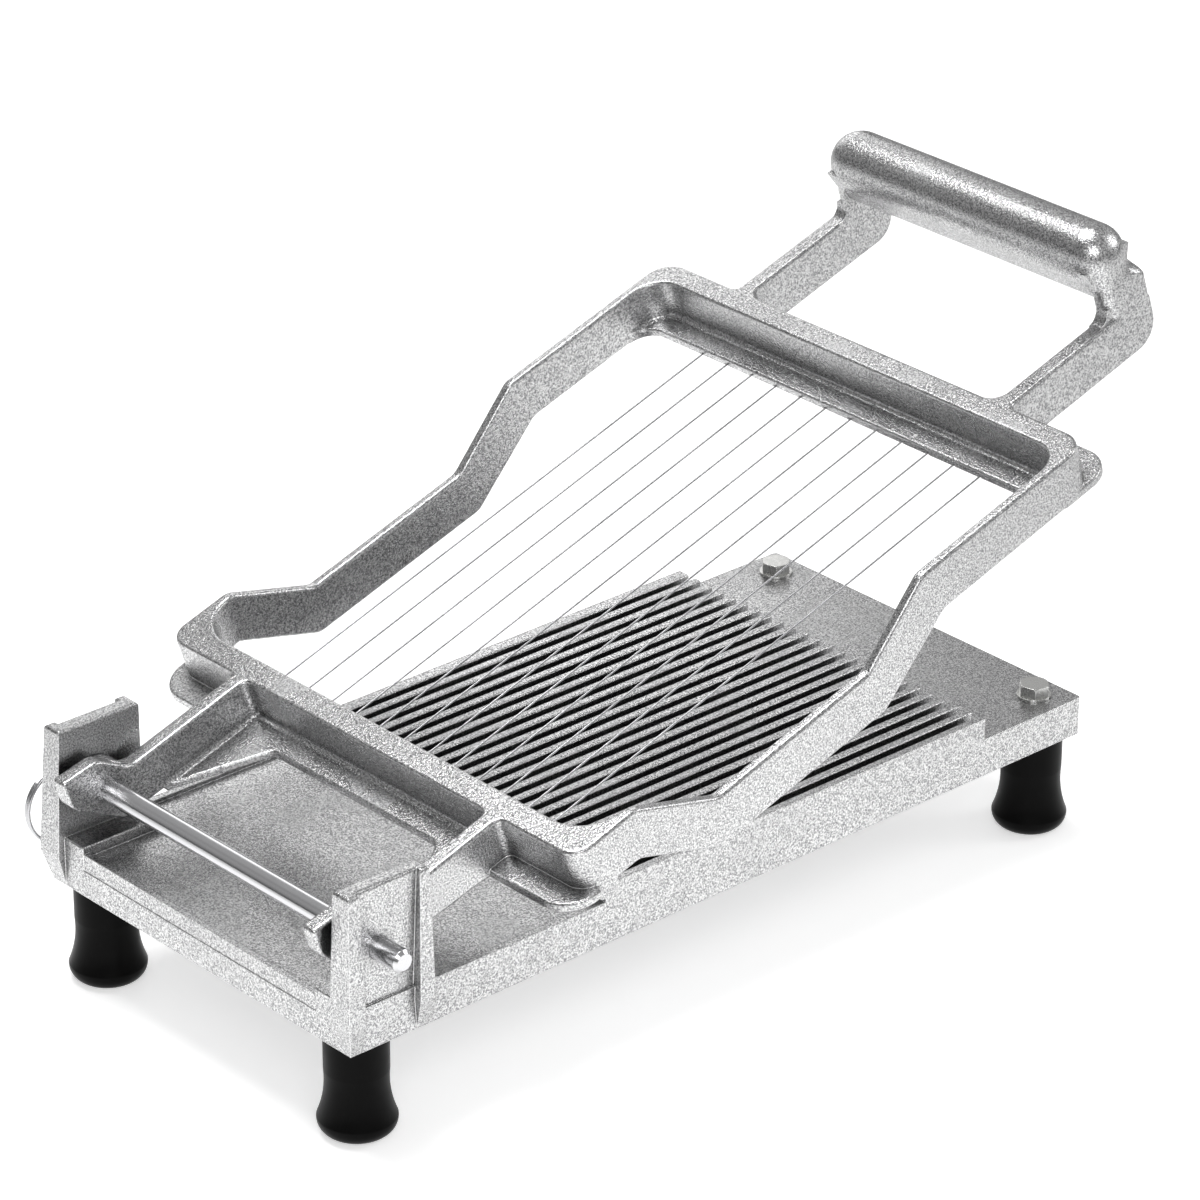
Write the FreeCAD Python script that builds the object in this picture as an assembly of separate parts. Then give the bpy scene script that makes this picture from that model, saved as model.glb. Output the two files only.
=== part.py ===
import FreeCAD, Part
import math
import os

from FreeCAD import Rotation, Vector

# A bench slicer with taut wires: a cast base on rubber feet, and a cast arm that swings on a pull-out pin.
# The frame's origin is the middle of the base on the bench, X runs from the hinge to the grip, Z is up.

# Base casting, heights taken from its underside
base_length = 338.0
base_width = 158.0
foot_height = 37.0
deck_height = 14.4
deck_thickness = 4.0
skirt_thickness = 4.0
corner_round = 1.6
foot_inset_side = 12.3
foot_inset_front = 12.3
foot_inset_rear = 11.6
foot_boss_radius = 12.0

# Tray at the hinge end
rim_rise = 1.6
rim_width = 2.6
tray_length = 110.0
rim_band_drop = 4.6
rim_band_depth = 0.22
floor_fillet = 1.2

# Ribs that the wires sink between
wire_count = 12
wire_spacing = 12.75
slots_per_wire_space = 2
slot_width = 3.2
slot_bank_shift = -0.8
rib_rise = 8.2
rib_end_inset = 49.2
rib_top_chamfer = 0.35

# Stiffening webs under the deck
stiffener_thickness = 3.0
stiffener_depth = 5.6
cross_stiffener_shares = (0.2, 0.4, 0.6, 0.8)
long_stiffener_offset = 27.0

# Hinge posts
post_inner_offset = 72.0
post_web_offset = 78.1
post_top_height = 58.6
post_foot_height = 11.2
post_lip = 1.3
flange_top_offset = 79.9
flange_foot_offset = 82.2
front_flange_top = (-0.6, 3.9)
front_flange_foot = (-2.8, 4.2)
front_flange_root = (0.0, 4.6)
rear_flange_top = (29.1, 33.1)
rear_flange_foot = (27.0, 33.4)
rear_flange_root = (27.8, 34.0)
web_ledge_height = 12.4

# Stop pads beside the posts, where the opened arm comes to rest
pad_height = 18.4
pad_inner_offset = 61.7
pad_length = 34.0

# Pivot
pivot_from_front = 13.3
pivot_height = 35.3
pin_radius = 4.05
pin_clearance = 0.08
pin_tip_offset = 90.7
pin_tip_chamfer = 1.1
pin_tail_offset = 92.0
pin_tail_chamfer = 0.8
pin_collar_radius = 6.2
pin_collar_thickness = 2.2
seat_gap = 0.3

# Split ring in the pin's tail
ring_hole_offset = 88.0
ring_hole_radius = 2.0
ring_radius = 14.8
ring_wire_radius = 0.62
ring_turn_gap = 0.45
ring_quarter_turns = 7
ring_swing = 10.0
ring_drop = 0.42

# Arm casting, measured from the pivot: along it, across it and above the pivot
arm_tilt = 18.15
arm_front = 62.5
arm_rear = 308.3
arm_half_width = 106.3
rail_thickness = 4.0
arm_top = 3.0
arm_depth = 18.7
drop_depth = 19.8
drop_lead = 27.7
drop_slope = 32.2
drop_flat = 71.2
under_lead = 3.75
under_tail = 5.7
rail_kink_round = 7.0
front_bar_width = 9.9
rear_bar_width = 9.3
front_corner_round = 8.0
front_window_round = 16.4
rear_corner_round = 10.0
rear_window_round = 11.0
cast_edge_round = 0.9
cast_top_round = 1.2
leg_root_fillet = 3.0
flange_root_fillet = 2.0
bar_web = 5.5
bar_plate = 4.4
channel_end_gap = 10.0

# Flanges flush with the arm's underside
flange_thickness = 3.0
flange_edge_round = 1.0
front_flange_reach = 9.7
front_flange_half = 108.6
front_flange_round = 12.5
front_flange_back = 4.5
rear_lip_reach = 9.6
rear_lip_round = 9.0
rear_tab_reach = 10.0
rear_tab_width = 28.3
rear_tab_ease = 2.6
rear_tab_round = 12.0
rear_tab_front = 16.0
gusset_start = 42.5
gusset_tip = 20.0
gusset_round = 4.0
lug_centre = 71.2
lug_radius = 4.9
lug_drop = 4.4

# Hinge legs and knuckles
leg_inner_offset = 62.6
leg_outer_offset = 69.0
knuckle_boss_radius = 10.0
knuckle_nose_u = -15.9
knuckle_nose_w = 14.8
knuckle_nose_round = 1.4
knuckle_crown_u = -0.5
knuckle_crown_w = 13.8
knuckle_throat_u = 10.6
knuckle_throat_round = 8.0
knuckle_front_u = -16.1
knuckle_front_w = 5.0
knuckle_chin_u = -13.2
knuckle_chin_w = 0.2
knuckle_heel_u = 1.4
knuckle_heel_w = -13.6
leg_under_u = 19.8
leg_under_w = -14.0
leg_root_u = 48.0
leg_root_w = -15.2
knuckle_round = 6.0

# Grip and its legs
grip_leg_inner = 62.2
grip_leg_outer = 68.7
grip_post_fore = 7.8
grip_post_aft = 12.3
grip_post_overlap = 6.0
grip_post_nose_round = 5.6
grip_post_back_round = 1.8
grip_dome_fore = 9.9
grip_dome_aft = 10.0
grip_dome_round = 9.0
grip_dome_inset = 0.5
grip_dome_start = 12.0
grip_dome_shares = (0.0, 0.3, 0.75, 0.95, 1.0)
grip_elbow_round = 10.0
grip_crook_round = 5.0
grip_centre_u = 369.2
grip_radius = 11.4
grip_height = 24.4
grip_heel_height = 9.0
grip_heel_half = 5.4
grip_heel_round = 2.4
crook_fillet_inner = 6.5
crook_fillet_outer = 3.0

# Cutting wires and their crimped sleeves
wire_radius = 0.35
wire_height = -15.2
wire_groove_width = 1.1
sleeve_radius = 0.75
sleeve_length = 3.4
sleeve_clearance = 0.25
sleeve_bore_clearance = 0.03

# Rubber feet, heights taken down from the underside of the base
foot_neck_radius = 11.0
foot_neck_length = 13.5
foot_flare_radius = 13.5
foot_flare_drop = 31.2
foot_flare_sag = 1.1
foot_sole_radius = 9.6
foot_sole_bulge = 0.9
foot_bore_radius = 3.3
foot_recess_radius = 7.6
foot_recess_depth = 16.0

# Fasteners
bolt_radius = 3.0
thread_clearance = 0.1
bolt_hole_clearance = 0.3
hex_across_flats = 10.0
hex_chamfer = 0.7
bolt_head_height = 4.0
bolt_head_turn = 48.0
bolt_tail = 2.0
deck_washer_radius = 6.2
deck_washer_thickness = 0.9
foot_washer_radius = 7.0
foot_washer_thickness = 1.5
nut_height = 5.0
screw_head_radius = 5.0
screw_head_height = 5.2
screw_socket_across_flats = 5.0
screw_socket_depth = 3.0
screw_reach = 9.0
screw_hole_depth = 10.2
screw_head_chamfer = 0.6

# One overrun for every cutting tool, and how close two places must be to count as one
overrun = 2.0
fit_tolerance = 0.01

front_face = -base_length / 2
rear_face = base_length / 2
half_width = base_width / 2
underside = foot_height
deck = underside + deck_height
rim_top = deck + rim_rise
rib_top = deck + rib_rise
rib_front = front_face + tray_length
rib_rear = rear_face - rib_end_inset
slot_pitch = wire_spacing / slots_per_wire_space
slot_count = wire_count * slots_per_wire_space
pivot = Vector(front_face + pivot_from_front, 0, underside + pivot_height)
arm_bottom = arm_top - arm_depth
flange_top = arm_bottom + flange_thickness
window_front = arm_front + front_bar_width
window_rear = arm_rear - rear_bar_width
rail_inner = arm_half_width - rail_thickness
grip_post_front = grip_centre_u - grip_post_fore
grip_post_rear = grip_centre_u + grip_post_aft
grip_half_length = grip_leg_outer - grip_radius
rear_tab_inner = arm_half_width - rear_tab_width
hex_corner = 1 / math.cos(math.pi / 6)


def box(x0, x1, y0, y1, z0, z1):
    """A block between two corners."""
    return Part.makeBox(x1 - x0, y1 - y0, z1 - z0, Vector(x0, y0, z0))


def rod(radius, start, end):
    """A round bar between two points."""
    run = end - start
    return Part.makeCylinder(radius, run.Length, start, run)


def rounded_wire(corners, to_space):
    """A closed outline through (a, b, round) corners, each eased by a tangent arc."""
    count = len(corners)
    joints = []
    for index, (a, b, ease) in enumerate(corners):
        here = Vector(a, b, 0)
        before = Vector(*corners[index - 1][:2], 0)
        after = Vector(*corners[(index + 1) % count][:2], 0)
        to_before = (before - here).normalize()
        to_after = (after - here).normalize()
        half_angle = to_before.getAngle(to_after) / 2
        if ease > 0 and half_angle < math.pi / 2:
            back = ease / math.tan(half_angle)
            towards = (to_before + to_after).normalize()
            centre = here + towards * (ease / math.sin(half_angle))
            joints.append((here + to_before * back, centre - towards * ease, here + to_after * back))
        else:
            joints.append((here, None, here))
    edges = []
    for index, (arc_start, arc_middle, arc_end) in enumerate(joints):
        if arc_middle is not None:
            edges.append(Part.Arc(to_space(arc_start), to_space(arc_middle), to_space(arc_end)).toShape())
        next_start = joints[(index + 1) % count][0]
        edges.append(Part.LineSegment(to_space(arc_end), to_space(next_start)).toShape())
    return Part.Wire(edges)


def side_prism(corners, y0, y1):
    """A side outline of (along, up, round) corners drawn out across the object."""
    face = Part.Face(rounded_wire(corners, lambda p: Vector(p.x, y0, p.y)))
    return face.extrude(Vector(0, y1 - y0, 0))


def plan_prism(corners, z0, z1):
    """A plan outline of (along, across, round) corners drawn up."""
    face = Part.Face(rounded_wire(corners, lambda p: Vector(p.x, p.y, z0)))
    return face.extrude(Vector(0, 0, z1 - z0))


def plan_rectangle(x0, x1, half, round_front, round_rear, z0, z1):
    """A plan rectangle about the middle plane, with its own rounding at each end."""
    corners = [(x0, -half, round_front), (x1, -half, round_rear),
               (x1, half, round_rear), (x0, half, round_front)]
    return plan_prism(corners, z0, z1)


def mirrored(shape):
    """The same shape on the other side of the middle plane."""
    return shape.mirror(Vector(0, 0, 0), Vector(0, 1, 0))


def both_sides(shape):
    return [shape, mirrored(shape)]


def joined(first, others):
    return first.fuse(others).removeSplitter()


def rounded_edges(shape, radius, chosen):
    """Ease the edges that the test chooses."""
    edges = [edge for edge in shape.Edges if chosen(edge)]
    return shape.makeFillet(radius, edges)


def same(first, second):
    return math.isclose(first, second, abs_tol=fit_tolerance)


def level_at(edge, height):
    """Whether an edge lies level at a height."""
    return same(edge.BoundBox.ZMin, height) and same(edge.BoundBox.ZMax, height)


def across_at(edge, x):
    """Whether an edge lies in the plane across the object at a place along it."""
    return same(edge.BoundBox.XMin, x) and same(edge.BoundBox.XMax, x)


def upright_at(edge, x, offset):
    """Whether an edge stands upright at a place on either side of the middle plane."""
    bounds = edge.BoundBox
    return across_at(edge, x) and same(bounds.YMin, bounds.YMax) and same(abs(bounds.YMin), offset)


def hexagon(across_flats, z0, z1, turn):
    """A six-sided bar on the Z axis."""
    corner = across_flats / 2 * hex_corner
    points = [Vector(corner * math.cos(math.radians(60 * k + turn)),
                     corner * math.sin(math.radians(60 * k + turn)), z0) for k in range(7)]
    return Part.Face(Part.makePolygon(points)).extrude(Vector(0, 0, z1 - z0))


def foot_places(end):
    """The two foot axes at one end of the base."""
    x = front_face + foot_inset_front if end == "front" else rear_face - foot_inset_rear
    y = half_width - foot_inset_side
    return [Vector(x, -y, underside), Vector(x, y, underside)]


def to_arm_place(shape):
    """Swing a shape drawn level from the pivot up to where the arm rests, and move it to the pivot."""
    placed = shape.copy()
    placed.rotate(Vector(0, 0, 0), Vector(0, -1, 0), arm_tilt)
    placed.translate(pivot)
    return placed


def deck_shell():
    """The flat deck with its skirt, foot bosses and the stiffening webs under it."""
    shell = plan_rectangle(front_face, rear_face, half_width, corner_round, corner_round, underside, deck)
    hollow_front = front_face + skirt_thickness
    hollow_rear = rear_face - skirt_thickness
    hollow_half = half_width - skirt_thickness
    ceiling = deck - deck_thickness
    shell = shell.cut(box(hollow_front, hollow_rear, -hollow_half, hollow_half, underside - overrun, ceiling))
    inside = box(hollow_front - overrun, hollow_rear + overrun, -hollow_half - overrun, hollow_half + overrun,
                 underside, ceiling + deck_thickness / 2)
    bosses = []
    for place in foot_places("front") + foot_places("rear"):
        boss = Part.makeCylinder(foot_boss_radius, ceiling + deck_thickness / 2 - underside, place)
        bosses.append(boss.common(inside))
    stiffener_foot = ceiling - stiffener_depth
    webs = []
    for share in cross_stiffener_shares:
        x = front_face + share * base_length
        webs.append(box(x - stiffener_thickness / 2, x + stiffener_thickness / 2,
                        -hollow_half - skirt_thickness / 2, hollow_half + skirt_thickness / 2,
                        stiffener_foot, ceiling + deck_thickness / 2))
    for side in (-1, 1):
        y = side * long_stiffener_offset
        webs.append(box(hollow_front - skirt_thickness / 2, hollow_rear + skirt_thickness / 2,
                        y - stiffener_thickness / 2, y + stiffener_thickness / 2,
                        stiffener_foot, ceiling + deck_thickness / 2))
    return joined(shell, bosses + webs)


def tray_rim():
    """The low rim round the front and sides of the tray."""
    outer = plan_rectangle(front_face, rib_front + rim_width, half_width,
                           corner_round, 0, deck - floor_fillet, rim_top)
    inner_half = half_width - rim_width
    inner = plan_rectangle(front_face + rim_width, rib_front + rim_width + overrun, inner_half,
                           corner_round, 0, deck, rim_top + overrun)
    return outer.cut(inner)


def rib_bank():
    """Side walls and the parallel ribs between the slots, standing on the deck."""
    bank = box(rib_front, rib_rear, -half_width, half_width, deck - floor_fillet, rib_top)
    cutters = []
    for index in range(slot_count):
        y = slot_bank_shift + (index - (slot_count - 1) / 2) * slot_pitch
        cutters.append(box(rib_front - overrun, rib_rear + overrun, y - slot_width / 2, y + slot_width / 2,
                           deck, rib_top + overrun))
        mouth = slot_width / 2 + rib_top_chamfer
        start = rib_front - overrun
        points = [Vector(start, y - mouth, rib_top), Vector(start, y, rib_top - mouth),
                  Vector(start, y + mouth, rib_top), Vector(start, y - mouth, rib_top)]
        length = rib_rear + overrun - start
        cutters.append(Part.Face(Part.makePolygon(points)).extrude(Vector(length, 0, 0)))
    return bank.cut(cutters)


def post_flange(root, foot, top):
    """One upright flange: it flares down to its foot and tapers back to the base's bottom corner."""
    sections = []
    top_level = underside + post_top_height
    levels = ((underside, root, half_width), (underside + post_foot_height, foot, flange_foot_offset),
              (top_level, top, flange_top_offset))
    for z, (x0, x1), outer in levels:
        front = front_face + x0
        rear = front_face + x1
        points = [Vector(front, post_inner_offset, z), Vector(rear, post_inner_offset, z),
                  Vector(rear, outer, z), Vector(front, outer, z), Vector(front, post_inner_offset, z)]
        sections.append(Part.makePolygon(points))
    flange = Part.makeLoft(sections, True, True)
    return rounded_edges(flange, post_lip, lambda edge: level_at(edge, top_level))


def hinge_post():
    """A recessed web between two flanges, with the pad that stops the opened arm at its foot."""
    web_front = front_face + front_flange_top[0] + post_lip
    web_rear = front_face + rear_flange_top[1] - post_lip
    web_top = underside + post_top_height
    web = box(web_front, web_rear, post_inner_offset, post_web_offset, deck - floor_fillet, web_top)
    web = rounded_edges(web, post_lip, lambda edge: edge.BoundBox.ZMin > web_top - post_lip
                        and edge.BoundBox.XLength > post_lip)
    sill = box(front_face + front_flange_root[0], front_face + rear_flange_root[1],
               post_inner_offset, half_width, underside, underside + web_ledge_height)
    pad_top = underside + pad_height
    pad = box(front_face, front_face + pad_length, pad_inner_offset, post_inner_offset + rim_width,
              deck - floor_fillet, pad_top)
    pad = rounded_edges(pad, post_lip / 2, lambda edge: edge.BoundBox.ZMin > pad_top - post_lip / 2)
    front = post_flange(front_flange_root, front_flange_foot, front_flange_top)
    rear = post_flange(rear_flange_root, rear_flange_foot, rear_flange_top)
    return web.fuse([sill, pad, front, rear])


def base_casting():
    post = hinge_post()
    casting = joined(deck_shell(), [tray_rim(), rib_bank()] + both_sides(post))
    drills = []
    pin_bore = pin_radius + pin_clearance
    reach = flange_foot_offset + overrun
    drills.append(rod(pin_bore, Vector(pivot.x, -reach, pivot.z), Vector(pivot.x, reach, pivot.z)))
    for place in foot_places("rear"):
        drills.append(Part.makeCylinder(bolt_radius + bolt_hole_clearance, deck_height + overrun + overrun,
                                        place - Vector(0, 0, overrun)))
    for place in foot_places("front"):
        drills.append(Part.makeCylinder(bolt_radius + thread_clearance, screw_hole_depth + overrun,
                                        place - Vector(0, 0, overrun)))
    band_low = rim_top - rim_rise - rim_band_drop
    band_half = pad_inner_offset
    drills.append(box(front_face - overrun, front_face + rim_band_depth, -band_half, band_half, band_low,
                      rim_top + overrun))
    return casting.cut(drills)


def arm_frame_ring():
    """Rails and crossbars: a rounded frame in plan, with a side outline that drops in the middle."""
    low = arm_top - drop_depth - arm_depth - overrun
    high = arm_top + overrun
    outer = plan_rectangle(arm_front, arm_rear, arm_half_width,
                           front_corner_round, rear_corner_round, low, high)
    window = plan_rectangle(window_front, window_rear, rail_inner, front_window_round, rear_window_round,
                            low - overrun, high + overrun)
    top_low = arm_top - drop_depth
    under_low = arm_bottom - drop_depth
    start = arm_front + drop_lead
    low_start = start + drop_slope
    low_end = low_start + drop_flat
    end = low_end + drop_slope
    outline = [
        (arm_front - overrun, arm_bottom, 0), (start - under_lead, arm_bottom, rail_kink_round),
        (low_start - under_lead, under_low, rail_kink_round),
        (low_end + under_lead, under_low, rail_kink_round),
        (end + under_tail, arm_bottom, rail_kink_round), (arm_rear + overrun, arm_bottom, 0),
        (arm_rear + overrun, arm_top, 0), (end, arm_top, rail_kink_round),
        (low_end, top_low, rail_kink_round), (low_start, top_low, rail_kink_round),
        (start, arm_top, rail_kink_round), (arm_front - overrun, arm_top, 0)]
    reach = arm_half_width + overrun
    ring = outer.cut(window).common(side_prism(outline, -reach, reach))
    return rounded_edges(ring, cast_edge_round, lambda edge: level_at(edge, arm_bottom))


def crossbar_channels():
    """The open hollows behind each crossbar's web."""
    half = rail_inner - front_window_round - channel_end_gap
    front = box(arm_front + bar_web, window_front + overrun, -half, half, flange_top, arm_top - bar_plate)
    half = grip_leg_inner - channel_end_gap
    rear = box(window_rear + bar_web, arm_rear + overrun, -half, half,
               arm_bottom - overrun, arm_top - bar_plate)
    return [front, rear]


def underside_flanges():
    """Plates along the underside: the front flange with its gussets, both ledges and the rear tabs."""
    low = arm_bottom
    front = plan_rectangle(arm_front - front_flange_reach, arm_front + front_flange_back,
                           front_flange_half, front_flange_round, 0, low, flange_top)
    gusset = plan_prism([
        (arm_front, leg_inner_offset + rail_thickness / 2, 0), (arm_front, gusset_start - gusset_round, 0),
        (arm_front - front_flange_reach, gusset_start - gusset_round, 0),
        (arm_front - front_flange_reach, gusset_start, gusset_round),
        (gusset_tip, leg_inner_offset, 0), (gusset_tip, leg_inner_offset + rail_thickness / 2, 0)],
        leg_root_w, flange_top)
    front = joined(front, both_sides(gusset))
    ledge = box(arm_front, window_front, front_window_round - rail_inner,
                rail_inner - front_window_round, low, flange_top)
    lip = box(window_rear - rear_lip_reach - rear_lip_round, window_rear + bar_web,
              -rail_inner - rail_thickness / 2, rail_inner + rail_thickness / 2, low, flange_top)
    lip = lip.cut(plan_rectangle(window_front, window_rear - rear_lip_reach, rail_inner, front_window_round,
                                 rear_lip_round, low - overrun, flange_top + overrun))
    tab = plan_prism([
        (arm_rear - rear_tab_front, rear_tab_inner, 0),
        (arm_rear + rear_tab_reach, rear_tab_inner, rear_tab_ease),
        (arm_rear + rear_tab_reach, arm_half_width, rear_tab_round),
        (arm_rear - rear_tab_front, arm_half_width, 0)], low, flange_top)
    tab = rounded_edges(tab, flange_edge_round, lambda edge: level_at(edge, flange_top)
                        and across_at(edge, arm_rear + rear_tab_reach))
    tab = tab.cut(plan_rectangle(window_front, window_rear, rail_inner, front_window_round,
                                 rear_window_round, low - overrun, flange_top + overrun))
    return [front, ledge, lip] + both_sides(tab)


def rail_lug():
    """A small rounded lug that hangs from the rail, on the arm's underside."""
    return side_prism([
        (lug_centre - lug_radius, arm_bottom + overrun, 0),
        (lug_centre - lug_radius, arm_bottom - lug_drop, lug_drop),
        (lug_centre + lug_radius, arm_bottom - lug_drop, lug_drop),
        (lug_centre + lug_radius, arm_bottom + overrun, 0)], rail_inner, arm_half_width)


def hinge_leg():
    """One hinge leg: a plate with a humped knuckle."""
    outline = [
        (arm_front + overrun, arm_top, 0), (knuckle_throat_u, arm_top, knuckle_throat_round),
        (knuckle_crown_u, knuckle_crown_w, knuckle_round),
        (knuckle_nose_u, knuckle_nose_w, knuckle_nose_round),
        (knuckle_front_u, knuckle_front_w, knuckle_round),
        (knuckle_chin_u, knuckle_chin_w, knuckle_round),
        (knuckle_heel_u, knuckle_heel_w, knuckle_round / 2), (leg_under_u, leg_under_w, 0),
        (leg_root_u, leg_root_w, 0), (arm_front - front_flange_reach, arm_bottom, 0),
        (arm_front + overrun, arm_bottom, 0)]
    return side_prism(outline, leg_inner_offset, leg_outer_offset)


def knuckle_boss():
    """The thickening round the pin, on the leg's outer side."""
    return rod(knuckle_boss_radius, Vector(0, leg_outer_offset - rail_thickness, 0),
               Vector(0, post_inner_offset - seat_gap, 0))


def grip_leg():
    """One leg of the grip, straight out from the rear crossbar to a rounded elbow."""
    outline = [
        (window_rear + bar_web, arm_bottom, 0), (grip_post_rear, arm_bottom, grip_elbow_round),
        (grip_post_rear, arm_top, 0), (window_rear + bar_web, arm_top, 0)]
    leg = side_prism(outline, grip_leg_inner, grip_leg_outer)
    return rounded_edges(leg, cast_edge_round, lambda edge: level_at(edge, arm_bottom)
                         and edge.BoundBox.YLength < fit_tolerance)


def post_section(level, blend):
    """The upright's outline at a level, eased from its plain section (0) to the one under its dome (1)."""
    def eased(plain, domed, step):
        return plain + (domed - plain) * step

    front = grip_centre_u - eased(grip_post_fore, grip_dome_fore, blend)
    rear = grip_centre_u + eased(grip_post_aft, grip_dome_aft, blend)
    inner = eased(grip_leg_inner, grip_half_length, blend)
    outer = grip_leg_outer - grip_dome_inset * blend
    turn = 1 - (1 - blend) ** 2
    nose = eased(grip_post_nose_round, grip_dome_round, turn)
    back = eased(grip_post_back_round, grip_dome_round, turn)
    return rounded_wire([(front, inner, 0), (front, outer, nose), (rear, outer, back), (rear, inner, 0)],
                        lambda p: Vector(p.x, p.y, level))


def grip_upright():
    """The part of the leg that rises into the grip, with a rounded crook in front of its foot."""
    low = arm_top - grip_post_overlap
    height = grip_dome_start - low
    plain = Part.Face(post_section(low, 0)).extrude(Vector(0, 0, height))
    rise = grip_height - grip_dome_start
    count = len(grip_dome_shares) - 1
    sections = [post_section(grip_dome_start + rise * index / count, blend)
                for index, blend in enumerate(grip_dome_shares)]
    neck = Part.makeLoft(sections, True, False)
    crook = box(grip_post_front - grip_crook_round, grip_post_front + overrun, grip_leg_inner,
                grip_leg_outer - cast_top_round, arm_top - overrun, arm_top + grip_crook_round)
    hollow_x = grip_post_front - grip_crook_round
    hollow_z = arm_top + grip_crook_round
    hollow = rod(grip_crook_round, Vector(hollow_x, 0, hollow_z), Vector(hollow_x, grip_leg_outer, hollow_z))
    return plain.fuse([neck, crook.cut(hollow)])


def grip():
    """The cross grip: round on top, drawn in to a narrow heel below, with rounded ends."""
    side = [
        (grip_centre_u - grip_heel_half, grip_heel_height, grip_heel_round),
        (grip_centre_u + grip_heel_half, grip_heel_height, grip_heel_round),
        (grip_centre_u + grip_radius, grip_height, 0), (grip_centre_u - grip_radius, grip_height, 0)]
    heel_half_length = grip_leg_inner + rail_thickness / 2
    lower = side_prism(side, -heel_half_length, heel_half_length)
    start = Vector(grip_centre_u, -grip_half_length, grip_height)
    finish = Vector(grip_centre_u, grip_half_length, grip_height)
    ends = [Part.makeSphere(grip_radius, start), Part.makeSphere(grip_radius, finish)]
    return rod(grip_radius, start, finish).fuse([lower] + ends)


def wire_offsets():
    shift = slot_bank_shift + slot_pitch / 2
    return [(index - (wire_count - 1) / 2) * wire_spacing + shift for index in range(wire_count)]


def wire_seat_front():
    """Where the front sleeves' inner faces bear."""
    return arm_front + bar_web - cast_edge_round


def wire_seat_rear():
    """Where the rear sleeves' inner faces bear."""
    return window_rear + cast_edge_round


def wire_grooves():
    """Grooves and sleeve pockets, cut from below into both crossbars."""
    cutters = []
    half = wire_groove_width / 2
    roof = wire_height + half
    pocket_half = sleeve_radius + sleeve_clearance
    lip_front = window_rear - rear_lip_reach
    low = arm_bottom - overrun
    front_pocket = wire_seat_front() - sleeve_length - sleeve_clearance
    rear_pocket = wire_seat_rear() + sleeve_length + sleeve_clearance
    for y in wire_offsets():
        near, far = y - half, y + half
        cutters.append(box(wire_seat_front() - overrun / 2, window_front + overrun, near, far, low, roof))
        cutters.append(box(lip_front - overrun, wire_seat_rear() + overrun / 2, near, far, low, roof))
        near, far = y - pocket_half, y + pocket_half
        cutters.append(box(front_pocket, wire_seat_front(), near, far, low, wire_height + pocket_half))
        cutters.append(box(wire_seat_rear(), rear_pocket, near, far, low, wire_height + pocket_half))
    return cutters


def cast_fillets(casting):
    """The casting's blends: legs into crossbars, webs into flanges, then the flanges' and the top's edges."""
    for x, offset, fillet in ((arm_front, leg_inner_offset, leg_root_fillet),
                              (arm_front, leg_outer_offset, leg_root_fillet),
                              (arm_rear, grip_leg_inner, crook_fillet_inner),
                              (arm_rear, grip_leg_outer, crook_fillet_outer)):
        casting = rounded_edges(casting, fillet, lambda edge: upright_at(edge, x, offset))

    def offset_of(edge):
        return abs(edge.CenterOfMass.y)

    flange_front = arm_front - front_flange_reach
    casting = rounded_edges(casting, flange_root_fillet, lambda edge: level_at(edge, flange_top)
                            and offset_of(edge) < leg_inner_offset + fit_tolerance
                            and (same(edge.BoundBox.XMax, arm_front)
                                 or edge.BoundBox.XMax < arm_front and same(offset_of(edge), leg_inner_offset)))
    casting = rounded_edges(casting, flange_edge_round, lambda edge: level_at(edge, flange_top)
                            and across_at(edge, flange_front) and offset_of(edge) > leg_outer_offset)
    casting = rounded_edges(casting, flange_edge_round, lambda edge: level_at(edge, flange_top)
                            and across_at(edge, flange_front) and offset_of(edge) < leg_inner_offset)
    casting = rounded_edges(casting, flange_root_fillet, lambda edge: level_at(edge, flange_top)
                            and across_at(edge, window_rear))
    casting = rounded_edges(casting, flange_edge_round, lambda edge: level_at(edge, flange_top)
                            and across_at(edge, window_rear - rear_lip_reach))
    return rounded_edges(casting, cast_top_round, lambda edge: level_at(edge, arm_top)
                         and edge.BoundBox.XMin < grip_post_front)


def arm_casting():
    """The whole arm in one casting, drawn level from the pivot."""
    casting = joined(arm_frame_ring(), underside_flanges() + both_sides(hinge_leg()) + both_sides(grip_leg()))
    casting = cast_fillets(casting).cut(crossbar_channels())
    casting = joined(casting, both_sides(knuckle_boss()) + both_sides(rail_lug())
                     + both_sides(grip_upright()) + [grip()])
    bore = rod(pin_radius + pin_clearance, Vector(0, -post_inner_offset, 0), Vector(0, post_inner_offset, 0))
    return casting.cut([bore] + wire_grooves())


def wires():
    """One straight wire for each place, level with the others."""
    front = wire_seat_front() - sleeve_length
    rear = wire_seat_rear() + sleeve_length
    return [rod(wire_radius, Vector(front, y, wire_height), Vector(rear, y, wire_height))
            for y in wire_offsets()]


def sleeves(start):
    """The crimped sleeves on one end of the wires."""
    tubes = []
    for y in wire_offsets():
        ends = (Vector(start, y, wire_height), Vector(start + sleeve_length, y, wire_height))
        tube = rod(sleeve_radius, *ends).cut(rod(wire_radius + sleeve_bore_clearance, *ends))
        tubes.append(tube)
    return Part.makeCompound(tubes)


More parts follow.
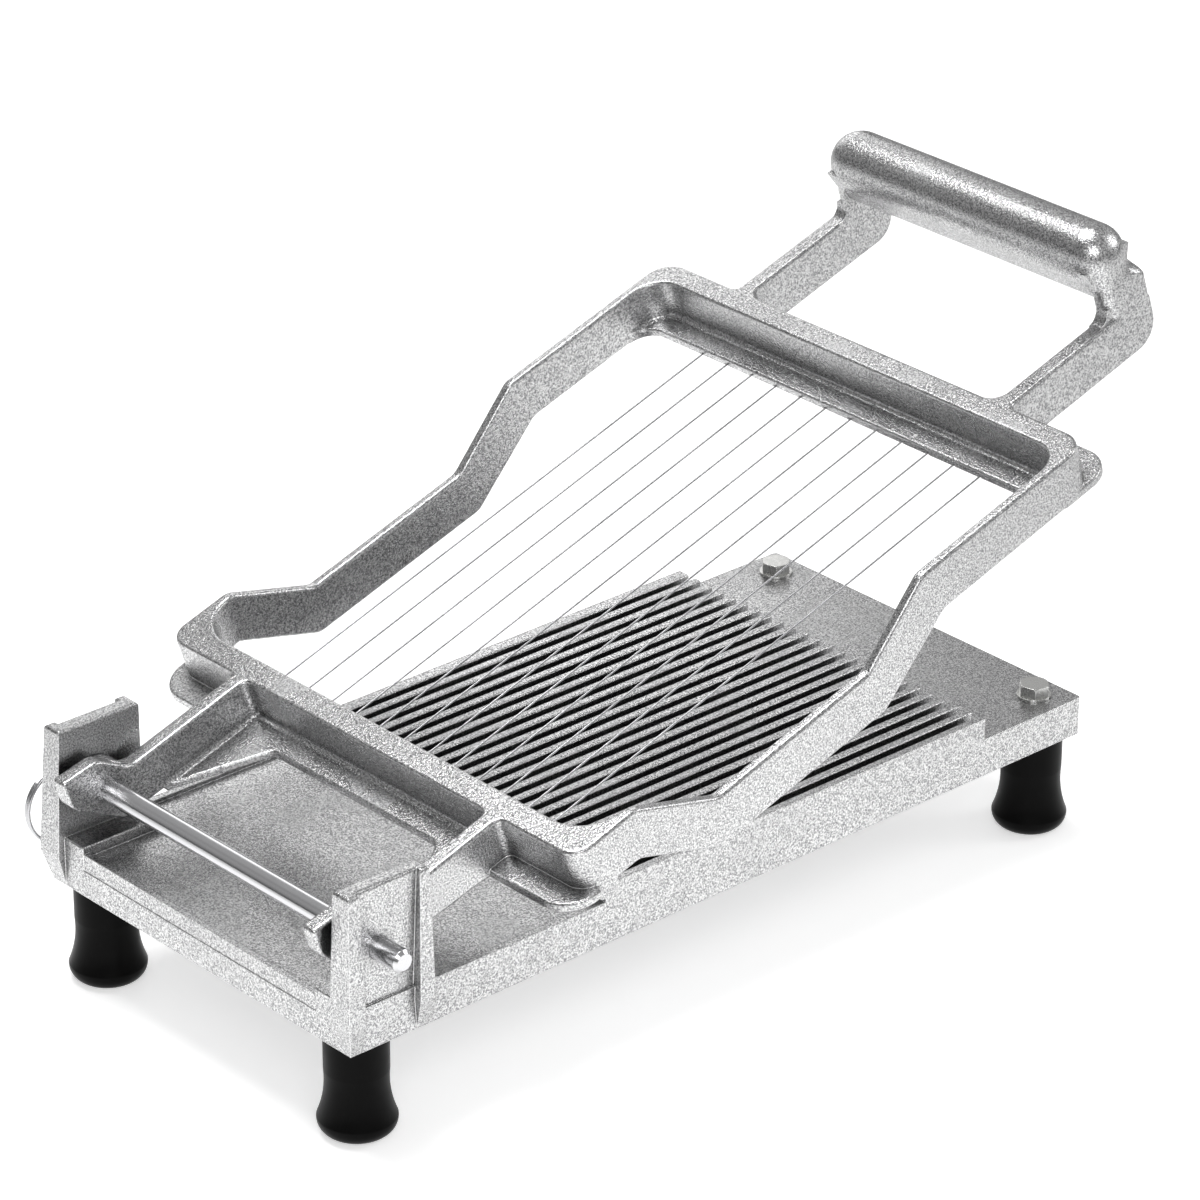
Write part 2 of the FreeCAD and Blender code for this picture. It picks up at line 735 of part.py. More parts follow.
def pivot_pin():
    """A plain steel rod with a chamfered tip, a collar and a cross hole in its tail for the ring."""
    tail = pin_tail_offset
    shaft = rod(pin_radius, Vector(0, -pin_tip_offset, 0), Vector(0, tail, 0))
    tip = [edge for edge in shaft.Edges if edge.BoundBox.YMax < -pin_tip_offset + pin_tip_chamfer]
    shaft = shaft.makeChamfer(pin_tip_chamfer, tip)
    butt = [edge for edge in shaft.Edges if edge.BoundBox.YMin > tail - pin_tail_chamfer]
    shaft = shaft.makeChamfer(pin_tail_chamfer, butt)
    collar_start = post_web_offset + seat_gap
    collar = rod(pin_collar_radius, Vector(0, collar_start, 0),
                 Vector(0, collar_start + pin_collar_thickness, 0))
    collar = collar.makeChamfer(pin_tail_chamfer / 2, collar.Edges[:1] + collar.Edges[2:])
    pin = shaft.fuse(collar).removeSplitter()
    hole = rod(ring_hole_radius, Vector(-pin_collar_radius, ring_hole_offset, 0),
               Vector(pin_collar_radius, ring_hole_offset, 0))
    pin = pin.cut(hole)
    pin.translate(pivot)
    return pin


def tangent_arc(start, tangent, end):
    """The arc that leaves a point along a tangent and ends at another point."""
    chord = end - start
    towards = (tangent - chord * (tangent.dot(chord) / chord.dot(chord))).normalize()
    sag = chord.Length / 2 * math.tan(tangent.getAngle(chord) / 2)
    return Part.Arc(start, (start + end) * 0.5 + towards * sag, end).toShape()


def pull_ring():
    """A split ring: almost two turns of wire lying side by side, hung in the pin's tail."""
    pitch = ring_wire_radius * 2 + ring_turn_gap
    quarter = math.pi / 2
    first_angle = -ring_quarter_turns * quarter / 2

    def point(angle):
        return Vector(ring_radius * math.sin(angle), pitch * angle / math.tau, ring_radius * math.cos(angle))

    def heading(angle):
        advance = pitch / math.tau
        return Vector(ring_radius * math.cos(angle), advance, -ring_radius * math.sin(angle)).normalize()

    edges = []
    for index in range(ring_quarter_turns):
        angle = first_angle + index * quarter
        start, end = point(angle), point(angle + quarter)
        leaving, arriving = heading(angle), heading(angle + quarter)
        span = end - start
        along = span.dot(leaving + arriving)
        spread = 2 - 2 * leaving.dot(arriving)
        reach = (math.sqrt(along * along + spread * span.dot(span)) - along) / spread
        corner_out, corner_in = start + leaving * reach, end - arriving * reach
        meeting = (corner_out + corner_in) * 0.5
        passing = (corner_in - corner_out).normalize()
        edges.append(tangent_arc(start, leaving, meeting))
        edges.append(tangent_arc(meeting, passing, end))
    profile = Part.Wire(Part.makeCircle(ring_wire_radius, point(first_angle), heading(first_angle)))
    coil = Part.Wire(edges).makePipeShell([profile], True, False)
    coil.rotate(Vector(0, 0, 0), Vector(0, 0, 1), -ring_swing)
    coil.translate(pivot + Vector(0, ring_hole_offset, -ring_radius - ring_drop))
    return coil


def rubber_foot(place):
    """A bell-shaped foot: straight neck, flared skirt and rounded sole, with a recess for its fixing."""
    neck = Vector(foot_neck_radius, 0, 0)
    neck_end = Vector(foot_neck_radius, 0, -foot_neck_length)
    flare = Vector(foot_flare_radius, 0, -foot_flare_drop)
    middle = (neck_end + flare) * 0.5 - Vector(foot_flare_sag, 0, 0)
    sole = Vector(foot_sole_radius, 0, -foot_height)
    bulge = (flare + sole) * 0.5 + Vector(foot_sole_bulge, 0, -foot_sole_bulge)
    recess_top = foot_recess_depth - foot_height
    points = [Vector(foot_recess_radius, 0, -foot_height), Vector(foot_recess_radius, 0, recess_top),
              Vector(foot_bore_radius, 0, recess_top), Vector(foot_bore_radius, 0, 0)]
    edges = [Part.LineSegment(neck, neck_end).toShape(), Part.Arc(neck_end, middle, flare).toShape(),
             Part.Arc(flare, bulge, sole).toShape(), Part.LineSegment(sole, points[0]).toShape()]
    for first, second in zip(points, points[1:]):
        edges.append(Part.LineSegment(first, second).toShape())
    edges.append(Part.LineSegment(points[-1], neck).toShape())
    foot = Part.Face(Part.Wire(edges)).revolve(Vector(0, 0, 0), Vector(0, 0, 1), 360)
    foot.translate(place)
    return foot


def washer(radius, thickness, place):
    ring = Part.makeCylinder(radius, thickness, place)
    return ring.cut(Part.makeCylinder(bolt_radius + thread_clearance, thickness + overrun + overrun,
                                      place - Vector(0, 0, overrun)))


def hex_head(z0, z1, turn):
    """A hexagon whose top corners are turned down."""
    body = hexagon(hex_across_flats, z0, z1, turn)
    corner = hex_across_flats / 2 * hex_corner
    cap = Part.makeCone(corner + z1 - z0, corner - hex_chamfer, z1 - z0, Vector(0, 0, z0))
    return body.common(cap)


def recess_ceiling():
    """Where the washers bear inside the feet."""
    return underside - foot_height + foot_recess_depth


def rear_bolt(place):
    """A hexagon bolt down through the deck and the foot."""
    head_seat = deck + deck_washer_thickness
    shank_end = recess_ceiling() - foot_washer_thickness - nut_height - bolt_tail
    shank = rod(bolt_radius, Vector(0, 0, shank_end), Vector(0, 0, head_seat + bolt_head_height / 2))
    bolt = hex_head(head_seat, head_seat + bolt_head_height, bolt_head_turn).fuse(shank).removeSplitter()
    bolt.translate(Vector(place.x, place.y, 0))
    return bolt


def rear_nut(place):
    top = recess_ceiling() - foot_washer_thickness
    nut = hex_head(-top, -top + nut_height, bolt_head_turn)
    nut = nut.mirror(Vector(0, 0, 0), Vector(0, 0, 1))
    nut = nut.cut(Part.makeCylinder(bolt_radius + thread_clearance, nut_height + overrun + overrun,
                                    Vector(0, 0, top - nut_height - overrun)))
    nut.translate(Vector(place.x, place.y, 0))
    return nut


def front_screw(place):
    """A socket head screw up through the foot into the base's boss."""
    seat = recess_ceiling() - foot_washer_thickness
    head = Part.makeCylinder(screw_head_radius, screw_head_height, Vector(0, 0, seat - screw_head_height))
    bottom = [edge for edge in head.Edges if edge.BoundBox.ZMax < seat - screw_head_height / 2]
    head = head.makeChamfer(screw_head_chamfer, bottom)
    shank = Part.makeCylinder(bolt_radius, underside + screw_reach - seat + screw_head_height / 2,
                              Vector(0, 0, seat - screw_head_height / 2))
    screw = head.fuse(shank).removeSplitter()
    screw = screw.cut(hexagon(screw_socket_across_flats, seat - screw_head_height - overrun,
                              seat - screw_head_height + screw_socket_depth, 0))
    screw.translate(Vector(place.x, place.y, 0))
    return screw


def all_nodes():
    nodes = {"base_casting": base_casting(), "arm_frame": to_arm_place(arm_casting()),
             "pivot_pin": pivot_pin(), "pull_ring": pull_ring()}
    for number, wire in enumerate(wires(), 1):
        nodes["wire_%02d" % number] = to_arm_place(wire)
    nodes["wire_sleeves_front"] = to_arm_place(sleeves(wire_seat_front() - sleeve_length))
    nodes["wire_sleeves_rear"] = to_arm_place(sleeves(wire_seat_rear()))
    fronts = foot_places("front")
    rears = foot_places("rear")
    for end, places in (("front", fronts), ("rear", rears)):
        for side, place in zip(("right", "left"), places):
            nodes["foot_%s_%s" % (end, side)] = rubber_foot(place)
    seat = recess_ceiling() - foot_washer_thickness
    nodes["foot_washers"] = Part.makeCompound(
        [washer(foot_washer_radius, foot_washer_thickness, Vector(place.x, place.y, seat))
         for place in fronts + rears])
    nodes["deck_washers"] = Part.makeCompound(
        [washer(deck_washer_radius, deck_washer_thickness, Vector(place.x, place.y, deck))
         for place in rears])
    nodes["rear_foot_bolts"] = Part.makeCompound([rear_bolt(place) for place in rears])
    nodes["rear_foot_nuts"] = Part.makeCompound([rear_nut(place) for place in rears])
    nodes["front_foot_screws"] = Part.makeCompound([front_screw(place) for place in fronts])
    return nodes


def main():
    os.makedirs("parts", exist_ok=True)
    for name, shape in all_nodes().items():
        shape.exportStep("parts/%s.step" % name)
        bounds = shape.BoundBox
        reach = [bounds.XMin, bounds.XMax, bounds.YMin, bounds.YMax, bounds.ZMin, bounds.ZMax]
        spans = "  ".join("%7.1f" % value for value in reach)
        print("%-20s solids %2d  valid %s  volume %10.1f  %s" % (
            name, len(shape.Solids), shape.isValid(), shape.Volume, spans))


main()
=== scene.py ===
import math

import bpy
from bpy.props import FloatProperty, FloatVectorProperty
from mathutils import Matrix, Vector

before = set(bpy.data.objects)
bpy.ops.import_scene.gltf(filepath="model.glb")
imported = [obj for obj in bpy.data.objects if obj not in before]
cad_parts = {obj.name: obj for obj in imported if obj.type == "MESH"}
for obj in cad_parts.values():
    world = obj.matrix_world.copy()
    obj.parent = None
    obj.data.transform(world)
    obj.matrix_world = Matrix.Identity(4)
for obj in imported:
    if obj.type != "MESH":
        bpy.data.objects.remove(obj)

bl_info = {
    "name": "Wire bench slicer finish",
    "version": (1, 0, 0),
    "blender": (4, 5, 0),
    "location": "3D View > Sidebar > Slicer",
    "description": "Finishes the castings, pin, wires, feet and fasteners of a bench slicer, with its stage",
    "category": "Object",
}

MM = 0.001
WHITE = "#FFFFFF"
# Nearly all the values of a noise texture lie between these.
NOISE_RANGE = (0.3, 0.7)
# Rays for the shader nodes that look at the shape around a point.
SHAPE_SAMPLES = 6

WIRE_NODES = sorted(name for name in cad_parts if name.startswith("wire_") and "sleeves" not in name)
SLEEVE_NODES = ["wire_sleeves_front", "wire_sleeves_rear"]
FOOT_NODES = ["foot_front_right", "foot_front_left", "foot_rear_right", "foot_rear_left"]
FASTENER_NODES = ["rear_foot_bolts", "rear_foot_nuts", "deck_washers", "foot_washers", "front_foot_screws"]

# The room's bands that metal mirrors: the height on the unit sphere and the colour from there on.
ROOM_BANDS = ((0.0, "#8C8C8C"), (0.12, "#A8A8A8"), (0.3, "#F0F0F0"), (0.5, "#F4F4F4"), (0.66, "#C8C8C8"),
              (0.9, "#D8D8D8"))
# The room dims to the left, between these places along X on the unit sphere, to this share of its light.
ROOM_SIDE = (-0.7, -0.1)
ROOM_SIDE_SHARE = 0.55

BENCH_SIZE = 30.0
# Metal sees the bench top white round this spot, and unlit beyond, between these distances in metres.
BENCH_SPOT = (-0.1, -0.15, 0.0)
BENCH_SPOT_EDGE = (0.28, 0.5)

OBJECT_MIDDLE = (0, 0, 0.1)
TRAY_MIDDLE = (-0.13, -0.02, 0.03)
# Name, place, point faced, width and height in metres, watts.
LAMPS = (
    ("lamp_left", (-1.3, -1.6, 1.5), OBJECT_MIDDLE, 1.2, 1.0, 15),
    ("lamp_over", (-0.1, 0.5, 1.9), OBJECT_MIDDLE, 0.9, 0.9, 22),
    ("lamp_right", (1.7, -0.9, 1.2), OBJECT_MIDDLE, 0.7, 1.0, 8),
    ("lamp_back", (0.35, 0.5, 0.38), TRAY_MIDDLE, 0.35, 0.35, 0.4),
)

CAMERA_PLACE = (-1.1171, -1.2489, 0.9454)
CAMERA_CLIP = (0.05, 50.0)
SENSOR_WIDTH = 36.0


def linear(hex_colour, alpha=1.0):
    """An sRGB hex colour as linear values."""
    channels = []
    for start in (1, 3, 5):
        value = int(hex_colour[start:start + 2], 16) / 255
        channels.append(value / 12.92 if value <= 0.04045 else ((value + 0.055) / 1.055) ** 2.4)
    return (*channels, alpha)


def add_node(tree, kind, inputs=None, **settings):
    """Add a shader node with its settings, then set or link its inputs."""
    made = tree.nodes.new(kind)
    for name, value in settings.items():
        setattr(made, name, value)
    for name, value in (inputs or {}).items():
        if isinstance(value, bpy.types.NodeSocket):
            tree.links.new(value, made.inputs[name])
        else:
            made.inputs[name].default_value = value
    return made


def ranged(tree, value, source, target):
    """A value moved from one range to another and held at the ends."""
    node = add_node(tree, "ShaderNodeMapRange",
                    {"Value": value, "From Min": source[0], "From Max": source[1],
                     "To Min": target[0], "To Max": target[1]})
    return node.outputs["Result"]


def noise(tree, place, size, detail, **more):
    """Cloudy noise with features about this size, in the units of the place."""
    node = add_node(tree, "ShaderNodeTexNoise", {"Vector": place, "Scale": 1 / size, "Detail": detail, **more})
    return node.outputs["Fac"]


def cells(tree, place, size):
    """The distance to the middle of the nearest cell, in cells about this size."""
    node = add_node(tree, "ShaderNodeTexVoronoi", {"Vector": place, "Scale": 1 / size})
    return node.outputs["Distance"]


def stretched(tree, place, factors):
    """A place with each axis multiplied, so that a pattern drawn there is longer along the small ones."""
    node = add_node(tree, "ShaderNodeVectorMath", {0: place, 1: factors}, operation="MULTIPLY")
    return node.outputs["Vector"]


def combined(tree, operation, first, second):
    """One value from two, by a maths operation."""
    return add_node(tree, "ShaderNodeMath", {0: first, 1: second}, operation=operation).outputs["Value"]


def mixed(tree, factor, first, second, **settings):
    """Two colours mixed, or two numbers with data_type FLOAT."""
    settings = {"data_type": "RGBA", **settings}
    node = add_node(tree, "ShaderNodeMix", {"Factor": factor, "A": first, "B": second}, **settings)
    return node.outputs["Result"]


def multiplied(tree, first, second):
    """One colour darkened by another."""
    return mixed(tree, 1.0, first, second, blend_type="MULTIPLY")


def bumped(tree, height, strength, depth_mm, normal):
    """A normal disturbed by a height pattern of this depth."""
    node = add_node(tree, "ShaderNodeBump",
                    {"Height": height, "Strength": strength, "Distance": depth_mm * MM, "Normal": normal})
    return node.outputs["Normal"]


def new_material(name):
    """An empty node material with its output."""
    material = bpy.data.materials.new(name)
    material.use_nodes = True
    material.node_tree.nodes.clear()
    output = add_node(material.node_tree, "ShaderNodeOutputMaterial")
    return material, material.node_tree, output


def finished(material, tree, output, inputs):
    """The material with its principled shader."""
    shader = add_node(tree, "ShaderNodeBsdfPrincipled", inputs)
    tree.links.new(shader.outputs["BSDF"], output.inputs["Surface"])
    return material


def millimetres(tree):
    """The piece's own coordinates, in millimetres, so that a pattern's scale is one over its real size."""
    place = add_node(tree, "ShaderNodeTexCoord")
    scaled = add_node(tree, "ShaderNodeVectorMath", {0: place.outputs["Object"], "Scale": 1 / MM},
                      operation="SCALE")
    return scaled.outputs["Vector"]


def give(names, material):
    """Put one material on CAD nodes."""
    for name in names:
        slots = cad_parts[name].data.materials
        slots.clear()
        slots.append(material)


def worn_and_highlit_edges(tree, radius_mm, gain):
    """The normal of edges eased by handling, and how far each edge is rubbed by wear and brightened as a
    painted highlight, from the angle it turns by.
    """
    rounded = add_node(tree, "ShaderNodeBevel", {"Radius": radius_mm * MM}, samples=SHAPE_SAMPLES)
    face = add_node(tree, "ShaderNodeNewGeometry")
    level = add_node(tree, "ShaderNodeVectorMath",
                     {0: rounded.outputs["Normal"], 1: face.outputs["Normal"]}, operation="DOT_PRODUCT")
    rubbed_and_highlit = ranged(tree, level.outputs["Value"], (1.0, 1.0 - gain), (0.0, 1.0))
    return rounded.outputs["Normal"], rubbed_and_highlit


def painted_crevice_shade(tree, reach_mm, darkest):
    """Painted shade in corners and slots, from ambient occlusion: 1 in the open, darker where walls stand
    close.
    """
    shut_in = add_node(tree, "ShaderNodeAmbientOcclusion", {"Distance": reach_mm * MM}, samples=SHAPE_SAMPLES)
    return ranged(tree, shut_in.outputs["AO"], (0.35, 0.95), (darkest, 1.0))


def blasted_aluminium(name, tint, grain_mm, roughness):
    """Aluminium sand casting, bead blasted: a bright metal whose fine pits break the light into grains.

    Real blasting leaves pits of about 0.2 mm. The grain is drawn coarser, so that it shows at arm's length.
    """
    material, tree, output = new_material(name)
    place = millimetres(tree)
    normal, rubbed_and_highlit = worn_and_highlit_edges(tree, radius_mm=0.6, gain=0.35)
    grain = noise(tree, place, grain_mm, 2.0, Roughness=0.8)
    pits = cells(tree, place, grain_mm * 2.2)
    clouds = noise(tree, place, 30.0, 3.0)
    shade = add_node(tree, "ShaderNodeValToRGB", {"Fac": grain})
    dark_grain, bright_grain = shade.color_ramp.elements
    dark_grain.position, dark_grain.color = 0.4, (0.3, 0.3, 0.31, 1)
    bright_grain.position, bright_grain.color = 0.58, (1, 1, 1, 1)
    speckled = multiplied(tree, tint, shade.outputs["Color"])
    # Painted shade: the speckled colour is darkened in corners and slots by ambient occlusion, in place of the
    # shade that falls there.
    crevice_shaded = multiplied(tree, speckled, painted_crevice_shade(tree, reach_mm=5.0, darkest=0.42))
    cloudy = ranged(tree, clouds, NOISE_RANGE, (roughness - 0.05, roughness + 0.06))
    polished = mixed(tree, rubbed_and_highlit, cloudy, roughness * 0.7, data_type="FLOAT")
    # Painted highlight, partly real wear: the edges' colour is brightened towards near white where handling
    # rubs them and where light catches their rounding.
    bright = mixed(tree, rubbed_and_highlit, crevice_shaded, linear("#FAFAFA"))
    coarse = bumped(tree, pits, strength=0.3, depth_mm=0.12, normal=normal)
    fine = bumped(tree, grain, strength=0.7, depth_mm=0.16, normal=coarse)
    return finished(material, tree, output,
                    {"Base Color": bright, "Metallic": 1.0, "Roughness": polished, "Normal": fine})


def ground_steel(name, tint, roughness, line_mm):
    """Ground and polished steel rod: a hard bright highlight with faint rings left by turning."""
    material, tree, output = new_material(name)
    place = millimetres(tree)
    normal, rubbed_and_highlit = worn_and_highlit_edges(tree, radius_mm=0.3, gain=0.6)
    rings = noise(tree, stretched(tree, place, (0.05, 1 / line_mm, 0.05)), 1.0, 2.0)
    haze = ranged(tree, rings, NOISE_RANGE, (roughness * 0.8, roughness * 1.25))
    relief = bumped(tree, rings, strength=0.12, depth_mm=0.02, normal=normal)
    # Painted highlight, partly real wear: the colour is brightened towards near white on the rubbed edges.
    colour = mixed(tree, rubbed_and_highlit, linear(tint), linear("#F6F6F6"))
    return finished(material, tree, output,
                    {"Base Color": colour, "Metallic": 1.0, "Roughness": haze, "Normal": relief})


def drawn_wire(name, tint, roughness):
    """Stainless steel wire drawn through a die: bright, with fine streaks along its length."""
    material, tree, output = new_material(name)
    place = millimetres(tree)
    streaks = noise(tree, stretched(tree, place, (0.02, 6.0, 6.0)), 1.0, 2.0)
    patches = noise(tree, place, 26.0, 1.0)
    haze = ranged(tree, streaks, NOISE_RANGE, (roughness * 0.7, roughness * 1.3))
    tone = ranged(tree, patches, (0.35, 0.65), (0.75, 1.0))
    colour = multiplied(tree, linear(tint), tone)
    return finished(material, tree, output, {"Base Color": colour, "Metallic": 1.0, "Roughness": haze})


def zinc_plate(name, tint, roughness):
    """Zinc plated steel: grey and slightly mottled by its crystals."""
    material, tree, output = new_material(name)
    place = millimetres(tree)
    normal, rubbed_and_highlit = worn_and_highlit_edges(tree, radius_mm=0.4, gain=0.5)
    mottle = cells(tree, place, 1.6)
    haze = ranged(tree, mottle, (0.0, 0.8), (roughness * 0.8, roughness * 1.3))
    # Painted highlight, partly real wear: the colour is brightened towards near white on the rubbed edges.
    colour = mixed(tree, rubbed_and_highlit, linear(tint), linear("#F4F4F2"))
    relief = bumped(tree, mottle, strength=0.1, depth_mm=0.05, normal=normal)
    return finished(material, tree, output,
                    {"Base Color": colour, "Metallic": 1.0, "Roughness": haze, "Normal": relief})


def moulded_rubber(name, tint, roughness):
    """Black moulded rubber: dark and smooth with a soft sheen, faintly uneven from the mould."""
    material, tree, output = new_material(name)
    place = millimetres(tree)
    normal, _ = worn_and_highlit_edges(tree, radius_mm=0.5, gain=0.5)
    skin = noise(tree, place, 0.5, 2.0)
    waves = noise(tree, place, 9.0, 1.0)
    haze = ranged(tree, waves, NOISE_RANGE, (roughness * 0.85, roughness * 1.15))
    relief = bumped(tree, skin, strength=0.12, depth_mm=0.05, normal=normal)
    return finished(material, tree, output,
                    {"Base Color": linear(tint), "Roughness": haze, "IOR": 1.52,
                     "Specular IOR Level": 0.07, "Normal": relief})


def bench_surface(name, tint, lift):
    """A plain pale bench top: white to the eye with its shadow kept, and in the metal greyer further out."""
    material, tree, output = new_material(name)
    paint = add_node(tree, "ShaderNodeBsdfDiffuse", {"Color": linear(tint)})
    rays = add_node(tree, "ShaderNodeLightPath").outputs
    place = add_node(tree, "ShaderNodeTexCoord")
    reach = add_node(tree, "ShaderNodeVectorMath", {0: place.outputs["Object"], 1: BENCH_SPOT},
                     operation="DISTANCE")
    near = ranged(tree, reach.outputs["Value"], BENCH_SPOT_EDGE, (1.0, 0.0))
    mirrored = combined(tree, "MULTIPLY", rays["Is Glossy Ray"], near)
    seen = combined(tree, "MAXIMUM", rays["Is Camera Ray"], mirrored)
    shown = combined(tree, "MAXIMUM", seen, rays["Is Transmission Ray"])
    strength = combined(tree, "MULTIPLY", shown, lift)
    glow = add_node(tree, "ShaderNodeEmission", {"Color": linear(WHITE), "Strength": strength})
    both = add_node(tree, "ShaderNodeAddShader", {0: paint.outputs["BSDF"], 1: glow.outputs["Emission"]})
    tree.links.new(both.outputs["Shader"], output.inputs["Surface"])
    return material


def studio_world(strength):
    """A room that metal mirrors as a pale band above the horizon, dimmer to the left. The camera sees white."""
    world = bpy.data.worlds.new("Studio")
    bpy.context.scene.world = world
    world.use_nodes = True
    tree = world.node_tree
    tree.nodes.clear()
    output = add_node(tree, "ShaderNodeOutputWorld")
    place = add_node(tree, "ShaderNodeTexCoord")
    axes = add_node(tree, "ShaderNodeSeparateXYZ", {"Vector": place.outputs["Generated"]}).outputs
    height = add_node(tree, "ShaderNodeValToRGB", {"Fac": axes["Z"]})
    bands = height.color_ramp.elements
    for band, (position, colour) in zip((bands[0], bands[1]), (ROOM_BANDS[0], ROOM_BANDS[-1])):
        band.position, band.color = position, linear(colour)
    for position, colour in ROOM_BANDS[1:-1]:
        bands.new(position).color = linear(colour)
    side = ranged(tree, axes["X"], ROOM_SIDE, (strength * ROOM_SIDE_SHARE, strength))
    rays = add_node(tree, "ShaderNodeLightPath")
    room = add_node(tree, "ShaderNodeBackground", {"Color": height.outputs["Color"], "Strength": side})
    white = add_node(tree, "ShaderNodeBackground", {"Color": linear(WHITE), "Strength": 1.0})
    either = add_node(tree, "ShaderNodeMixShader",
                      {0: rays.outputs["Is Camera Ray"], 1: room.outputs["Background"],
                       2: white.outputs["Background"]})
    tree.links.new(either.outputs["Shader"], output.inputs["Surface"])


def soft_box(name, place, aim, width, height, watts):
    """A rectangular studio lamp that faces a point."""
    data = bpy.data.lights.new(name, "AREA")
    data.shape = "RECTANGLE"
    data.size, data.size_y = width, height
    data.energy = watts
    lamp = bpy.data.objects.new(name, data)
    lamp.location = place
    lamp.rotation_euler = (Vector(aim) - Vector(place)).to_track_quat("-Z", "Y").to_euler()
    bpy.context.scene.collection.objects.link(lamp)


def add_bench(glow):
    """The bench top under the feet, in view of the eye and the metal."""
    bpy.ops.mesh.primitive_plane_add(size=BENCH_SIZE, location=(0, 0, 0))
    bench = bpy.context.object
    bench.name = "bench_top"
    bench.data.materials.append(bench_surface("Matt white bench top", "#F0F0F0", glow))


def add_camera(scene, azimuth, elevation, roll, lens):
    """The camera at its fixed place, turned by the angles it looks from."""
    back = Vector((math.sin(azimuth) * math.cos(elevation),
                   -math.cos(azimuth) * math.cos(elevation),
                   math.sin(elevation)))
    data = bpy.data.cameras.new("camera")
    data.lens = lens
    data.sensor_width = SENSOR_WIDTH
    data.clip_start, data.clip_end = CAMERA_CLIP
    camera = bpy.data.objects.new("camera", data)
    camera.rotation_mode = "QUATERNION"
    turn = (-back).to_track_quat("-Z", "Y")
    camera.rotation_quaternion = turn @ Matrix.Rotation(roll, 3, "Z").to_quaternion()
    camera.location = CAMERA_PLACE
    scene.collection.objects.link(camera)
    scene.camera = camera


class CastingSettings(bpy.types.PropertyGroup):
    base_tint: FloatVectorProperty(
        name="Base tint", description="Colour of the base's metal", subtype="COLOR", size=4,
        default=linear("#E4E4E4"), min=0, max=1)
    arm_tint: FloatVectorProperty(
        name="Arm tint", description="Colour of the arm's metal", subtype="COLOR", size=4,
        default=linear("#E8E8E8"), min=0, max=1)
    grain: FloatProperty(
        name="Grain", description="Size of the blasted surface's grains, in millimetres",
        default=0.6, min=0.1, max=3)
    roughness: FloatProperty(
        name="Roughness", description="How much the castings spread their reflections",
        default=0.26, min=0.05, max=1)


class StageSettings(bpy.types.PropertyGroup):
    azimuth: FloatProperty(
        name="Azimuth", description="Direction that the camera looks from", subtype="ANGLE",
        unit="ROTATION", default=math.radians(-42.04))
    elevation: FloatProperty(
        name="Elevation", description="Height of the camera above the horizon", subtype="ANGLE",
        unit="ROTATION", default=math.radians(26.33))
    roll: FloatProperty(
        name="Roll", description="Turn of the camera about its own axis", subtype="ANGLE",
        unit="ROTATION", default=math.radians(0.23))
    lens: FloatProperty(
        name="Lens", description="Focal length in millimetres on a 36 mm wide sensor",
        default=163.84, min=20, max=400)
    room_light: FloatProperty(
        name="Room light", description="Strength of the light from all round",
        default=0.62, min=0, max=3)
    floor_glow: FloatProperty(
        name="Floor glow", description="How far the bench top is lifted towards white",
        default=0.5, min=0, max=1)


class FinishCastings(bpy.types.Operator):
    """Blasted aluminium on the base and the arm"""
    bl_idname = "slicer.finish_castings"
    bl_label = "Castings"

    def execute(self, context):
        settings = context.scene.slicer_castings
        base = blasted_aluminium("Bead blasted cast aluminium, base", settings.base_tint, settings.grain,
                                 settings.roughness)
        arm = blasted_aluminium("Bead blasted cast aluminium, arm", settings.arm_tint, settings.grain,
                                settings.roughness * 0.9)
        give(["base_casting"], base)
        give(["arm_frame"], arm)
        return {"FINISHED"}


class FinishPin(bpy.types.Operator):
    """Polished steel on the hinge pin and its split ring"""
    bl_idname = "slicer.finish_pin"
    bl_label = "Pin and ring"

    def execute(self, context):
        give(["pivot_pin"], ground_steel("Ground steel, pin", "#D8D8DA", roughness=0.16, line_mm=0.4))
        give(["pull_ring"], ground_steel("Spring steel, split ring", "#C8C8CA", roughness=0.2, line_mm=0.6))
        return {"FINISHED"}


class FinishWires(bpy.types.Operator):
    """Drawn stainless steel on the wires and their crimped sleeves"""
    bl_idname = "slicer.finish_wires"
    bl_label = "Wires"

    def execute(self, context):
        give(WIRE_NODES, drawn_wire("Drawn stainless wire", "#B4B4B6", roughness=0.28))
        give(SLEEVE_NODES, drawn_wire("Crimped stainless sleeve", "#A8A8AA", roughness=0.4))
        return {"FINISHED"}


class FinishFeet(bpy.types.Operator):
    """Black rubber on the four feet"""
    bl_idname = "slicer.finish_feet"
    bl_label = "Feet"

    def execute(self, context):
        give(FOOT_NODES, moulded_rubber("Moulded black rubber", "#060606", roughness=0.36))
        return {"FINISHED"}


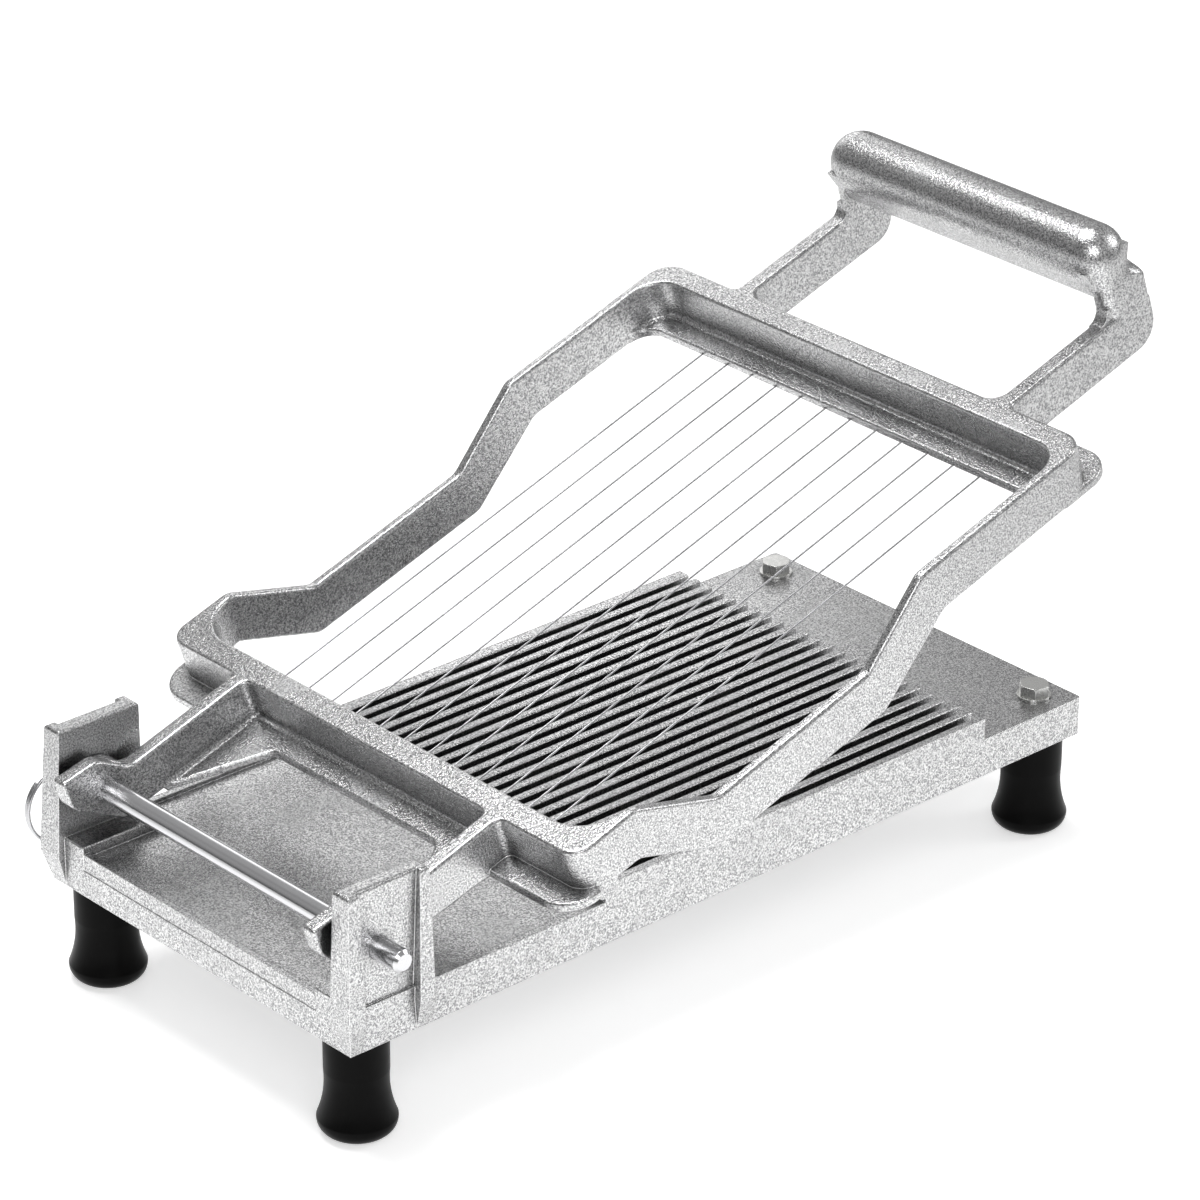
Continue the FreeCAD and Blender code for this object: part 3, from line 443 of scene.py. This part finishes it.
class FinishFasteners(bpy.types.Operator):
    """Zinc plate on the bolts, nuts, screws and washers"""
    bl_idname = "slicer.finish_fasteners"
    bl_label = "Fasteners"

    def execute(self, context):
        give(FASTENER_NODES, zinc_plate("Zinc plated steel", "#CFCFCD", roughness=0.24))
        return {"FINISHED"}


class BuildStage(bpy.types.Operator):
    """A pale bench top, soft lamps and the camera"""
    bl_idname = "slicer.build_stage"
    bl_label = "Stage"

    def execute(self, context):
        settings = context.scene.slicer_stage
        studio_world(settings.room_light)
        add_bench(settings.floor_glow)
        for lamp in LAMPS:
            soft_box(*lamp)
        add_camera(context.scene, settings.azimuth, settings.elevation, settings.roll, settings.lens)
        context.scene.view_settings.view_transform = "Standard"
        return {"FINISHED"}


class SlicerPanel(bpy.types.Panel):
    bl_idname = "VIEW3D_PT_slicer"
    bl_label = "Bench slicer"
    bl_space_type = "VIEW_3D"
    bl_region_type = "UI"
    bl_category = "Slicer"

    def draw(self, context):
        layout = self.layout
        for name in ("base_tint", "arm_tint", "grain", "roughness"):
            layout.prop(context.scene.slicer_castings, name)
        for name in ("azimuth", "elevation", "roll", "lens", "room_light", "floor_glow"):
            layout.prop(context.scene.slicer_stage, name)
        for operator in OPERATORS:
            layout.operator(operator.bl_idname)


OPERATORS = (FinishCastings, FinishPin, FinishWires, FinishFeet, FinishFasteners, BuildStage)
CLASSES = (CastingSettings, StageSettings, *OPERATORS, SlicerPanel)


def register():
    for item in CLASSES:
        bpy.utils.register_class(item)
    bpy.types.Scene.slicer_castings = bpy.props.PointerProperty(type=CastingSettings)
    bpy.types.Scene.slicer_stage = bpy.props.PointerProperty(type=StageSettings)


def unregister():
    del bpy.types.Scene.slicer_castings
    del bpy.types.Scene.slicer_stage
    for item in reversed(CLASSES):
        bpy.utils.unregister_class(item)


def main():
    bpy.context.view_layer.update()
    register()
    bpy.ops.slicer.finish_castings()
    bpy.ops.slicer.finish_pin()
    bpy.ops.slicer.finish_wires()
    bpy.ops.slicer.finish_feet()
    bpy.ops.slicer.finish_fasteners()
    bpy.ops.slicer.build_stage()
    bpy.context.view_layer.update()


if __name__ == "__main__":
    main()
